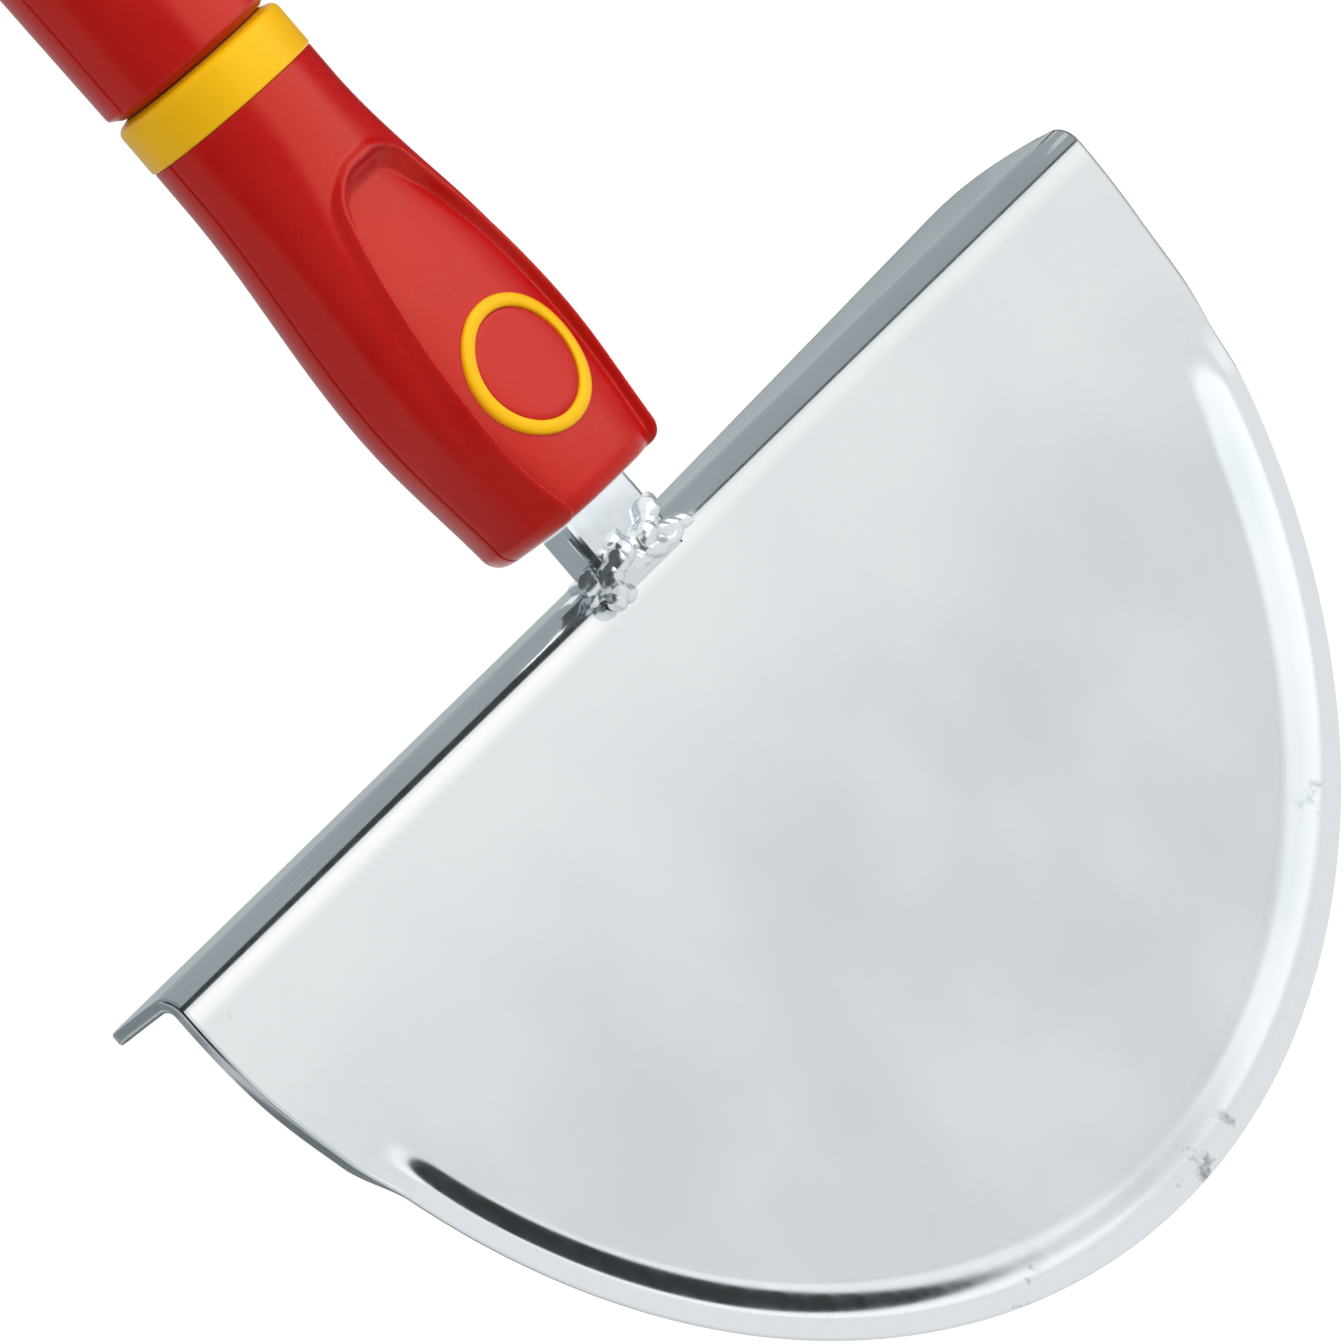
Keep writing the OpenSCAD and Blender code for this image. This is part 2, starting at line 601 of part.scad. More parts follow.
module release_sleeve() {
  wide = sleeve_r + sleeve_flare;
  rim = wide + rim_out;
  soft = 1.2;
  color("#c01d1f") translate([0, 0, arc_z + sleeve_from]) rotate_extrude() polygon(concat(
    [[ramp_at(ramp_low), 0]],
    corner([sleeve_r - 0.7, 0.7], 0.7, -90, 0),
    [[wide, sleeve_len - 9], [wide + 0.1, sleeve_len - 7]],
    [[rim - 0.3, sleeve_len - 4.4], [rim, sleeve_len - 3.4]],
    corner([rim - soft, sleeve_len - soft], soft, 0, 90),
    [[chamber_r, sleeve_len], [chamber_r, land_top]],
    [[tube_r + guide_fit, land_top], [tube_r + guide_fit, ramp_top]],
    [[ramp_at(ramp_top), ramp_top], [ramp_at(ramp_low), ramp_low]]
  ));
}

// The spring as one bent wire
ring_count = 12;
side_count = 6;
wire_rings = ring_count * spring_turns;
coil_rise = spring_len - 2 * wire_r - 2 * seat_fit;
function coil_pt(k, s) = let (a = 360 * k / ring_count, t = 360 * s / side_count)
  [(spring_r + wire_r * cos(t)) * cos(a), (spring_r + wire_r * cos(t)) * sin(a),
    arc_z + spring_from + wire_r + seat_fit + coil_rise * k / wire_rings + wire_r * sin(t)];

module sleeve_spring() {
  pts = [for (k = [0 : wire_rings]) for (s = [0 : side_count - 1]) coil_pt(k, s)];
  last = wire_rings * side_count;
  color("#8f9599") polyhedron(points = pts, convexity = 10, faces = concat(
    joined([for (k = [0 : wire_rings - 1]) for (s = [0 : side_count - 1]) let (n = (s + 1) % side_count)
      patch(k * side_count + s, k * side_count + n, (k + 1) * side_count + n, (k + 1) * side_count + s)]),
    [[for (s = [side_count - 1 : -1 : 0]) s]],
    [[for (s = [0 : side_count - 1]) last + s]]
  ));
}
echo(spring_least_gap = coil_rise / spring_turns - 2 * wire_r);
echo(spring_gap_pulled = (coil_rise - sleeve_travel) / spring_turns - 2 * wire_r);

module spring_washer() {
  color("#a0a6aa") translate([0, 0, arc_z + sleeve_from + washer_low]) difference() {
    cylinder(r = chamber_r - 0.3, h = washer_t);
    translate([0, 0, -1]) cylinder(r = tube_r + guide_fit, h = washer_t + 2);
  }
}

module retaining_ring() {
  color("#7c8286") translate([0, 0, arc_z + sleeve_from + ring_low]) rotate(290) rotate_extrude(angle = 320)
    translate([tube_r - groove_in + seat_fit, seat_fit])
      square([chamber_r - 0.5 - tube_r + groove_in, ring_t - 2 * seat_fit]);
}

module lock_ball(k) {
  color("#d0d4d7") rotate(120 * k + 90) translate([ball_c, 0, arc_z + ball_at]) sphere(r = ball_r, $fn = 32);
}

module lock_ball_1() {
  lock_ball(0);
}

module lock_ball_2() {
  lock_ball(1);
}

module lock_ball_3() {
  lock_ball(2);
}

blade();
tang();
front_weld();
rear_weld();
socket_tube();
tang_rivet();
grip_front_shell();
grip_rear_shell();
upper_screw();
lower_screw();
badge_ring();
badge_disc();
collar_ring();
buffer_ring();
release_sleeve();
sleeve_spring();
spring_washer();
retaining_ring();
lock_ball_1();
lock_ball_2();
lock_ball_3();
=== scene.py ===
import math

import bmesh
import bpy
from mathutils import Matrix, Vector, noise


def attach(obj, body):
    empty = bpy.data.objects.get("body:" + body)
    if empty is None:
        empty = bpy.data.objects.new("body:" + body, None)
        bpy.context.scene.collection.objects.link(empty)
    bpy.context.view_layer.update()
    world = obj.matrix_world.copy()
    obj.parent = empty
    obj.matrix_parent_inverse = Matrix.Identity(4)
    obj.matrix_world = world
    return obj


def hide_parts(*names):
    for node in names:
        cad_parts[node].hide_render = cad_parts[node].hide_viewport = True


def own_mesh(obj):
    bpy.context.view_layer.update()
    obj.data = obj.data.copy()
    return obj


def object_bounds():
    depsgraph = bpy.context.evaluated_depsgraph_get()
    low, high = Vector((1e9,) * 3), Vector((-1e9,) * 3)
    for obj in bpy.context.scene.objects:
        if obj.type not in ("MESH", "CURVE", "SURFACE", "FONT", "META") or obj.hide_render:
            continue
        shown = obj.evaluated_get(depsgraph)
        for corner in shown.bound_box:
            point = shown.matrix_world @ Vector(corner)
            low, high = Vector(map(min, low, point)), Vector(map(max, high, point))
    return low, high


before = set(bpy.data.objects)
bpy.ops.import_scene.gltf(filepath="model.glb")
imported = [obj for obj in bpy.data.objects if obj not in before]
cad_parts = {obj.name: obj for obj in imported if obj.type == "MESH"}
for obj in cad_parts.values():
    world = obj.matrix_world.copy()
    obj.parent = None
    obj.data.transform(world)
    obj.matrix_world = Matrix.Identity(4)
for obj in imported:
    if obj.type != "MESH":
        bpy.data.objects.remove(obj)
cad_low, cad_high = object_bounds()

MM = 0.001

# Sizes in millimetres; heights are above the centre of the blade's arc
ARC_Z = -132.4
# Blade: a half disc of sheet, its rim pressed forward between two radii and run out near the fold
BLADE_R, SHEET_T, FACE_Y = 112.5, 2.0, -2.4
RIM_STEP, STEP_R, BAND_R = 2.0, 102.6, 109.9
STEP_FROM, STEP_TO = 29.5, 38.5
DISH_R, DISH_SHARE, DISH_COMES, DISH_GOES = 82.0, 0.45, (14, 29), (30, 46)
DRAWN_IN, DRAWN_FROM = 0.005, 21.5
EDGE_T, BEVEL_W, EDGE_ROUND = 0.8, 7.0, 0.36
# Foot tread: the strip bent back from the blade's top
FOLD_R, TREAD_D, TREAD_RISE, TREAD_TWIST = 3.5, 16.2, -0.3, 2.4
CORNER_LEFT, CORNER_RIGHT, END_STUB = 3.6, 15.0, 0.6
FOLD_N, TREAD_N = 14, 22
# Grip: half width, rear and front at the neck, and how far it swells below
GRIP_FROM, GRIP_TOP, WIDE_H = 11.8, 82.6, 38.5
NECK_HALF, NECK_REAR, NECK_FRONT = 13.6, 13.5, 13.7
SWELL_SIDE, SWELL_REAR = 3.1, 1.2
SEAM_Y, GRIP_END_R, NECK_R, JOINT_GAP = 2.0, 2.6, 11.6, 0.06
# Thumb panel and badge
PANEL_TOP, PANEL_HALF, PANEL_IN, PANEL_CORNER = 66.7, 12.8, 1.0, 4.2
PANEL_UP, PANEL_DOWN, WAIST_H = 51.5, 39.0, 29.5
RIDGE_H, RIDGE_OFF, RIDGE_INNER, RIDGE_OUTER = 0.8, 0.4, 1.1, 1.6
BADGE_H, BADGE_R, BADGE_BAND, BADGE_FIT, BADGE_FOOT = 31.4, 10.35, 2.05, 0.05, -1.2
# Collar, rubber ring and sleeve
COLLAR_R, COLLAR_TOP, RING_FIT = 13.8, 90.3, 0.05
TUBE_R, BUFFER_R = 9.0, 11.3
SLEEVE_FROM, SLEEVE_LEN, SLEEVE_R = 91.7, 34.0, 13.85
SLEEVE_WIDE, SLEEVE_RIM, SLEEVE_LIP, SLEEVE_TRAVEL = 14.25, 15.35, 0.8, 6.0
LIP_R, SLEEVE_ROUND, RIM_ROUND = 12.1, 0.7, 1.2
CHAMBER_R, GUIDE_FIT, CONE_UNDER, CONE_OVER, LAND_T = 11.9, 0.06, 7.2, 3.4, 3.4
FLARE_DOWN, FLARE_LEN = 9, 5.6
BALL_H, BALL_OFF, BALL_R, RAMP_GAP, RAMP = 10.0, 8.65, 2.0, 0.1, 0.15
PARTING_W, PARTING_DEEP = 0.32, 0.3


def ease(a, b, v):
    """Smooth step from 0 at a to 1 at b"""
    t = min(1.0, max(0.0, (v - a) / (b - a)))
    return t * t * (3 - 2 * t)


def spread(a, b, n):
    """n + 1 even stations from a to b"""
    return [a + (b - a) * k / n for k in range(n + 1)]


# Finishes

def paint(code):
    """An sRGB hex colour as linear"""
    parts = [int(code[i:i + 2], 16) / 255 for i in (1, 3, 5)]
    return tuple(c / 12.92 if c <= 0.04045 else ((c + 0.055) / 1.055) ** 2.4 for c in parts) + (1.0,)


def plug(tree, node, put):
    """Values and links for a node's inputs"""
    for key, value in put.items():
        if isinstance(value, bpy.types.NodeSocket):
            tree.links.new(value, node.inputs[key])
        else:
            node.inputs[key].default_value = value


def add(tree, kind, put=None, **settings):
    """One shader node with its settings, its values and its links"""
    made = tree.nodes.new(kind)
    for key, value in settings.items():
        setattr(made, key, value)
    plug(tree, made, put or {})
    return made


def speckle(tree, place, size, detail, rough=0.5):
    """Noise with patches of a size in metres"""
    put = {"Vector": place, "Scale": 1 / size, "Detail": detail, "Roughness": rough}
    return add(tree, "ShaderNodeTexNoise", put).outputs["Fac"]


def ramp(tree, value, low, high, to_low=0.0, to_high=1.0, soft=False):
    """A value between two marks, spread over a new range"""
    put = {"Value": value, "From Min": low, "From Max": high, "To Min": to_low, "To Max": to_high}
    kind = "SMOOTHSTEP" if soft else "LINEAR"
    return add(tree, "ShaderNodeMapRange", put, interpolation_type=kind).outputs["Result"]


def mix(tree, share, under, over):
    """One colour laid over another by a share"""
    put = {"Factor": share, "A": under, "B": over}
    return add(tree, "ShaderNodeMix", put, data_type="RGBA").outputs["Result"]


def reckon(tree, operation, *values, **settings):
    """The result of one arithmetic step"""
    made = add(tree, "ShaderNodeMath", dict(enumerate(values)), operation=operation, **settings)
    return made.outputs["Value"]


def relief(tree, height, deep_mm, under=None):
    """A bumpy skin of a depth in millimetres, laid over another if there is one"""
    put = {"Height": height, "Distance": deep_mm * MM, "Strength": 1.0}
    if under is not None:
        put["Normal"] = under
    return add(tree, "ShaderNodeBump", put).outputs["Normal"]


def pointiness(tree):
    """High on outer edges, low in hollows"""
    return add(tree, "ShaderNodeNewGeometry").outputs["Pointiness"]


def start(name):
    """A new material: its tree, its surface shader and the place on the object in metres"""
    material = bpy.data.materials.new(name)
    material.use_nodes = True
    tree = material.node_tree
    surface = tree.nodes["Principled BSDF"]
    place = add(tree, "ShaderNodeTexCoord").outputs["Object"]
    return material, tree, surface, place


def plate_wear_and_fold_highlight(tree, place, base, shine):
    """Painted highlight on the plate, lighter towards the fold and in a bright band just below it, and what use
    left on the blade:
    a ground rim, rubbed spots before the cutting edge, and the dull cut edge itself"""
    shifted = add(tree, "ShaderNodeVectorMath", {0: place, 1: (0, 0, -ARC_Z * MM)},
                  operation="ADD").outputs["Vector"]
    flat = add(tree, "ShaderNodeVectorMath", {0: shifted, 1: (1, 0, 1)},
               operation="MULTIPLY").outputs["Vector"]
    reach = add(tree, "ShaderNodeVectorMath", {0: flat}, operation="LENGTH").outputs["Value"]
    axes = add(tree, "ShaderNodeSeparateXYZ", {"Vector": shifted})
    across, height = axes.outputs["X"], axes.outputs["Z"]
    under_fold = ramp(tree, height, 0.4 * MM, -0.6 * MM)
    # Painted highlight: the plate is lighter towards the fold, most just under it
    thick = reckon(tree, "MULTIPLY", ramp(tree, height, -52 * MM, -4 * MM, 0.0, 0.55, True), under_fold)
    base = mix(tree, thick, base, paint("#e8ebec"))
    # Painted highlight: a bright band just below the fold, strongest on the left
    pressed = reckon(tree, "MULTIPLY", ramp(tree, across, 20 * MM, -20 * MM, 0.4, 0.85), under_fold)
    fold_highlight_band = reckon(tree, "MULTIPLY", ramp(tree, height, -3.6 * MM, -0.9 * MM, soft=True), pressed)
    base = mix(tree, fold_highlight_band, base, paint("#fbfcfc"))
    # The rim is ground below the run-out
    below = ramp(tree, height, -STEP_FROM * MM, -STEP_TO * MM)
    ground = reckon(tree, "MULTIPLY", ramp(tree, reach, 106.5 * MM, 109 * MM), below)
    base = mix(tree, ground, base, paint("#d9dee1"))
    # Rubbed spots keep to the last few millimetres before the cutting edge
    hit = ramp(tree, speckle(tree, place, 0.011, 5.0, 0.6), 0.64, 0.7)
    rub = reckon(tree, "MULTIPLY", ramp(tree, reach, 104 * MM, 111 * MM), hit)
    base = mix(tree, rub, base, paint("#8d9498"))
    base = mix(tree, ramp(tree, reach, 112.2 * MM, 112.9 * MM, 0.0, 0.6), base, paint("#7f878c"))
    return base, reckon(tree, "MULTIPLY_ADD", rub, 0.15, shine)


def zinc_plated(name, dark, light, smooth, rough, wave_mm, wave_deep, rim_wear_and_fold_highlight=False, shaded_hollows=False):
    """Bright zinc plate on pressed steel: a cool grey mirror gone soft, cloudy where the bath
    ran thick and thin, with slow waves from the press"""
    material, tree, surface, place = start(name)
    cloud = speckle(tree, place, 0.026, 3.0, 0.45)
    fine = speckle(tree, place, 0.0025, 4.0, 0.6)
    base = mix(tree, ramp(tree, cloud, 0.32, 0.68), paint(dark), paint(light))
    shine = ramp(tree, fine, 0.3, 0.7, smooth, rough)
    waves = relief(tree, speckle(tree, place, wave_mm * MM, 1.0), wave_deep)
    if shaded_hollows:
        # Painted shade: the weld is darker in the hollows between the lumps
        base = mix(tree, ramp(tree, pointiness(tree), 0.485, 0.42), base, paint("#30373c"))
    if rim_wear_and_fold_highlight:
        base, shine = plate_wear_and_fold_highlight(tree, place, base, shine)
    plug(tree, surface, {"Base Color": base, "Roughness": shine, "Metallic": 1.0,
                         "Normal": relief(tree, fine, 0.004, waves)})
    return material


def moulded(name, deep, bright, worn, sheen, smooth, rough):
    """Moulded polypropylene with a fine spark eroded skin: soft satin sheen, a slow drift in
    colour from the melt, and edges rubbed paler by the hand"""
    material, tree, surface, place = start(name)
    colour = mix(tree, speckle(tree, place, 0.018, 2.0), paint(deep), paint(bright))
    rubbed = mix(tree, ramp(tree, pointiness(tree), 0.57, 0.7, 0.0, 0.2), colour, paint(worn))
    handled = speckle(tree, place, 0.009, 4.0, 0.6)
    # The skin's grain is about 0.1 mm; it is drawn three times as coarse so that it shows
    skin = speckle(tree, place, 0.0003, 2.0)
    plug(tree, surface, {"Base Color": rubbed, "Roughness": ramp(tree, handled, 0.3, 0.7, smooth, rough),
                         "Normal": relief(tree, skin, 0.012), "IOR": 1.49,
                         "Specular IOR Level": 0.32, "Specular Tint": paint(sheen)})
    return material


def worked_steel(name, dark, light, smooth, rough, streak):
    """Plain bright steel: drawn, turned or rolled, with fine lines round the axis from the die
    or the lathe and a slightly uneven film of oil"""
    material, tree, surface, place = start(name)
    lines = add(tree, "ShaderNodeMapping", {"Vector": place, "Scale": streak}).outputs["Vector"]
    drawn = speckle(tree, lines, 0.0012, 3.0)
    film = speckle(tree, place, 0.007, 3.0)
    plug(tree, surface, {"Base Color": mix(tree, film, paint(dark), paint(light)), "Metallic": 1.0,
                         "Roughness": ramp(tree, drawn, 0.0, 1.0, smooth, rough),
                         "Normal": relief(tree, drawn, 0.004)})
    return material


def nitrile(name, dark, light):
    """Nitrile rubber: matt, a little dusty where it blooms"""
    material, tree, surface, place = start(name)
    bloom = speckle(tree, place, 0.004, 4.0)
    plug(tree, surface, {"Base Color": mix(tree, bloom, paint(dark), paint(light)), "Roughness": 0.7,
                         "Normal": relief(tree, bloom, 0.02), "IOR": 1.52})
    return material


plated_sheet = zinc_plated("zinc_plated_sheet", "#c9cfd2", "#d3d8da", 0.10, 0.17, 40, 0.02, rim_wear_and_fold_highlight=True)
plated_bar = zinc_plated("zinc_plated_bar", "#c2c8cc", "#d2d7da", 0.12, 0.2, 9, 0.015)
plated_weld = zinc_plated("zinc_plated_weld", "#ccd2d6", "#e2e6e8", 0.24, 0.34, 2.2, 0.02, shaded_hollows=True)
red_plastic = moulded("red_polypropylene", "#b0090e", "#ba0c11", "#c8342f", "#ffe1bc", 0.24, 0.32)
red_disc = moulded("red_polypropylene_inlay", "#b31015", "#bb1417", "#c8342f", "#ffe1bc", 0.28, 0.36)
yellow_plastic = moulded("yellow_polypropylene", "#eeb10d", "#f1bb13", "#f3cf60", "#ccdc90", 0.26, 0.34)
red_rubber = nitrile("red_nitrile_rubber", "#86100c", "#9c1812")
tube_steel = worked_steel("drawn_steel_tube", "#b9bec2", "#cfd3d6", 0.18, 0.34, (1, 1, 0.08))
fastener_steel = worked_steel("turned_steel", "#a4a9ad", "#c0c5c8", 0.2, 0.38, (1, 0.1, 1))
spring_steel = worked_steel("oiled_spring_steel", "#8d9296", "#aeb3b7", 0.18, 0.34, (1, 1, 1))
ball_steel = worked_steel("polished_bearing_steel", "#cfd2d5", "#dfe2e4", 0.05, 0.1, (1, 1, 1))


# Pieces

def piece(name, points, faces, body, nodes, finish, crease=38):
    """A smooth piece from points in millimetres that rides on a body and stands for CAD nodes"""
    mesh = bpy.data.meshes.new(name)
    mesh.from_pydata([Vector(p) * MM for p in points], [], faces)
    form = bmesh.new()
    form.from_mesh(mesh)
    bmesh.ops.remove_doubles(form, verts=form.verts, dist=1e-7)
    bmesh.ops.dissolve_degenerate(form, edges=form.edges, dist=1e-8)
    bmesh.ops.recalc_face_normals(form, faces=form.faces)
    form.to_mesh(mesh)
    form.free()
    mesh.shade_smooth()
    mesh.set_sharp_from_angle(angle=math.radians(crease))
    mesh.materials.append(finish)
    made = bpy.data.objects.new(name, mesh)
    bpy.context.collection.objects.link(made)
    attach(made, body)
    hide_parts(*nodes)


def strips(rows, wrap=False):
    """Quads between rows of point numbers"""
    made = []
    for low, high in zip(rows, rows[1:]):
        n = len(low)
        for i in range(n if wrap else n - 1):
            k = (i + 1) % n
            made.append((low[i], low[k], high[k], high[i]))
    return made


def lay(points, more):
    """Adds points and returns their numbers"""
    first = len(points)
    points += more
    return list(range(first, len(points)))


def sheet_front(r, q):
    """The blade's front face: flat, with its rim pressed forward along the arc"""
    deep = r * math.sin(q)
    climb = max(0.0, (r - STEP_R) / (BAND_R - STEP_R)) ** 1.2
    pressed = ease(0, 1, climb) * ease(STEP_FROM, STEP_TO, deep + 0.15 * (BLADE_R - r))
    # The sheet above the run-out came forward with it in a shallow dish
    dish = DISH_SHARE * ease(*DISH_COMES, deep) * (1 - ease(*DISH_GOES, deep)) * ease(DISH_R, BLADE_R, r)
    step = RIM_STEP * (pressed + (1 - pressed) * dish)
    # Pressing the step drew the rim in; above the run-out the sheet keeps its width
    wide = 1 + DRAWN_IN * (1 - ease(DRAWN_FROM, STEP_TO, deep))
    return Vector((r * math.cos(q) * wide, FACE_Y - step, ARC_Z - deep))


def sheet_thick(r, q):
    """The sheet's thickness, ground thinner along the cutting rim"""
    ground = ease(STEP_FROM, STEP_TO, r * math.sin(q)) * max(0.0, (r - BLADE_R + BEVEL_W) / BEVEL_W)
    return SHEET_T - (SHEET_T - EDGE_T) * ground


def tread_point(x, k, radius):
    """The fold and the foot tread behind it, on the outer or the inner face; the tread is nearly
    level on the left, rises to the back on the right, and its right corner is cut round"""
    wide = x * (1 + DRAWN_IN)
    if k <= FOLD_N:
        a = math.pi / 2 * k / FOLD_N
        return Vector((wide, FACE_Y + FOLD_R - radius * math.cos(a), ARC_Z + radius * math.sin(a)))
    corner = CORNER_RIGHT if x > 0 else CORNER_LEFT
    c = max(0.0, abs(x) - (BLADE_R - corner)) / corner
    full = TREAD_D - FOLD_R
    reach = full - min(corner, full - END_STUB) * (1 - math.sqrt(max(0.0, 1 - c * c)))
    back = reach * (k - FOLD_N) / (TREAD_N - FOLD_N)
    rise = (TREAD_RISE + TREAD_TWIST * max(0.0, x / BLADE_R)) * (back / full) ** 1.3
    return Vector((wide, FACE_Y + FOLD_R + back, ARC_Z + radius + rise))


def lay_sheet_side(points, faces, back):
    """The front or the back of the bent sheet; returns the numbers along its border"""
    radii = spread(0, STEP_R, 34)[1:] + spread(STEP_R, BAND_R, 22)[1:]
    radii += spread(BAND_R, BLADE_R - 0.5, 7)[1:] + [BLADE_R]
    turns = spread(0, math.pi, 300)
    across = [-r for r in reversed(radii)] + [0.0] + radii
    middle = lay(points, [Vector((0, FACE_Y + back * SHEET_T, ARC_Z))])[0]
    rings = [lay(points, [sheet_front(r, q) + Vector((0, back * sheet_thick(r, q), 0)) for q in turns])
             for r in radii]
    lines = [[ring[-1] for ring in reversed(rings)] + [middle] + [ring[0] for ring in rings]]
    for k in range(1, TREAD_N + 1):
        lines.append(lay(points, [tread_point(x, k, FOLD_R - back * SHEET_T) for x in across]))
    faces += [(middle, a, b) for a, b in zip(rings[0], rings[0][1:])]
    faces += strips(rings) + strips(lines)
    ends = [line[-1] for line in reversed(lines[1:-1])]
    return rings[-1] + [line[0] for line in lines[1:]] + lines[-1][1:] + ends


def round_border(points, outer, inner):
    """Rounds the cut edge off between the two borders and returns its faces"""
    n = len(outer)
    fronts, backs = [points[i].copy() for i in outer], [points[i].copy() for i in inner]
    inside = Vector((0, 4, ARC_Z - 40))
    loops = [[] for _ in range(8)]
    for i in range(n):
        along = (fronts[(i + 1) % n] - fronts[i - 1]).normalized()
        through = backs[i] - fronts[i]
        radius = min(EDGE_ROUND, through.length * 0.48)
        through.normalize()
        out = along.cross(through).normalized()
        if out.dot(fronts[i] - inside) < 0:
            out = -out
        for s, (at, way) in enumerate(((fronts[i], through), (backs[i], -through))):
            for k, degrees in enumerate((0, 30, 60, 90)):
                a = math.radians(degrees)
                spot = at - out * radius * (1 - math.sin(a)) + way * radius * (1 - math.cos(a))
                if k == 0:
                    number = (outer, inner)[s][i]
                    points[number] = spot
                else:
                    number = lay(points, [spot])[0]
                loops[k if s == 0 else 7 - k].append(number)
    return strips(loops, wrap=True)


def build_blade():
    """Blade and foot tread as one bent sheet with a rounded edge all the way round"""
    points, faces = [], []
    outer, inner = [lay_sheet_side(points, faces, back) for back in (0, 1)]
    faces += round_border(points, outer, inner)
    piece("blade_sheet", points, faces, "head", ["blade"], plated_sheet, 50)


def swell(h):
    """How full the grip is at a height, 1 at its widest"""
    if h > WIDE_H:
        return (1 + math.cos(math.pi * min(1, (h - WIDE_H) / (GRIP_TOP - 6 - WIDE_H)))) / 2
    return (1 + math.cos(math.pi * min(1, (WIDE_H - h) / (1.2 * (WIDE_H - GRIP_FROM))))) / 2


def end_inset(h):
    """How far the rounded lower end draws the outline in"""
    d = GRIP_END_R - min(GRIP_END_R, h - GRIP_FROM)
    return GRIP_END_R - math.sqrt(max(0.0, GRIP_END_R ** 2 - d * d))


def grip_half(h):
    """Half the grip's width"""
    return NECK_HALF + SWELL_SIDE * swell(h) - end_inset(h)


def grip_rear(h):
    """The grip's depth behind the axis"""
    return NECK_REAR + SWELL_REAR * swell(h) - end_inset(h)


def grip_front(h):
    """The grip's depth before the axis"""
    return NECK_FRONT - ease(GRIP_TOP - 3, GRIP_TOP - 25, h) - 0.6 * end_inset(h)


def grip_power(h):
    """How square the front is: round at the neck, fuller below"""
    return 2 + 1.2 * ease(GRIP_TOP - 4, GRIP_TOP - 36, h)


def panel_half(h):
    """Half the thumb panel's width"""
    reach = PANEL_UP if h > WAIST_H else PANEL_DOWN
    return max(2.0, PANEL_HALF * (1 - ((h - WAIST_H) / reach) ** 2))


def front_face(x, h):
    """Depth of the grip's front without the thumb panel"""
    p = grip_power(h)
    return -grip_front(h) * max(0.0, 1 - min(1.0, abs(x) / grip_half(h)) ** p) ** (1 / p)


def panel_inside(x, h):
    """How far a place lies inside the thumb panel's border, negative outside"""
    a, b = PANEL_CORNER - (panel_half(h) - abs(x)), PANEL_CORNER - (PANEL_TOP - h)
    return PANEL_CORNER - math.hypot(max(a, 0), max(b, 0)) - min(max(a, b), 0)


def panel_drop(u, h):
    """The panel's floor, deepest under its top edge, and the soft lip that frames it, which
    stands higher towards the grip's end"""
    side = u + RIDGE_OFF
    lip = (1 + math.cos(math.pi * min(1, side / RIDGE_INNER if side > 0 else -side / RIDGE_OUTER))) / 2
    lip *= 1 + 0.6 * ease(54, 26, h)
    deep = PANEL_IN + 0.9 * ease(44, 64, h)
    wall = 1.0 + 2.0 * ease(56, 65, h)
    return deep * ease(-0.1, wall, u) - RIDGE_H * lip


def grip_outline(h, front, count):
    """Even points along one shell's outline at a height, from the right seam to the left, each
    with its distance from the nearer seam; they crowd together beside the seams"""
    half, rear, nose, p = grip_half(h), grip_rear(h), grip_front(h), grip_power(h)
    seam = math.asin(SEAM_Y / rear)
    fine = []
    if front:
        fine += [(half * math.cos(t), rear * math.sin(t)) for t in spread(seam, 0, 12)[:-1]]
        for t in spread(0, math.pi, 500):
            reach = ((abs(math.cos(t)) / half) ** p + (abs(math.sin(t)) / nose) ** p) ** (-1 / p)
            fine.append((reach * math.cos(t), -reach * math.sin(t)))
        fine += [(-half * math.cos(t), rear * math.sin(t)) for t in spread(0, seam, 12)[1:]]
    else:
        fine += [(half * math.cos(t), rear * math.sin(t)) for t in spread(seam, math.pi - seam, 300)]
    runs = [0.0]
    for a, b in zip(fine, fine[1:]):
        runs.append(runs[-1] + math.dist(a, b))
    beside = [0, 0.06, 0.12, 0.18, 0.25, 0.34, 0.46, 0.62, 0.82]
    wants = beside + spread(1.05, runs[-1] - 1.05, count - 2 * len(beside))
    wants += [runs[-1] - d for d in reversed(beside)]
    made, k = [], 0
    for want in wants:
        while k < len(runs) - 2 and runs[k + 1] < want:
            k += 1
        t = (want - runs[k]) / max(1e-9, runs[k + 1] - runs[k])
        (ax, ay), (bx, by) = fine[k], fine[k + 1]
        made.append(((ax + (bx - ax) * t, ay + (by - ay) * t), min(want, runs[-1] - want)))
    return made


def shell_row(h, front, count, last):
    """One level of a shell: the outline with its softened seam edges and the thumb panel"""
    outline = grip_outline(h, front, count)
    row = []
    for i, ((x, y), off_seam) in enumerate(outline):
        a, b = outline[max(0, i - 1)][0], outline[min(count, i + 1)][0]
        out = Vector((-(b[1] - a[1]), b[0] - a[0])).normalized()
        if out.x * x + out.y * y < 0:
            out = -out
        drop = 0.5 * max(0.0, 1 - off_seam / 0.3) ** 1.3
        drop += 0.1 if last else 0
        spot = Vector((x, y)) - out * drop
        inside = panel_inside(x, h)
        if front and y < 0 and inside > -3:
            spot.y += panel_drop(inside, h)
        if i in (0, count):
            spot.y = SEAM_Y
        row.append((spot.x, spot.y, ARC_Z + h))
    return row


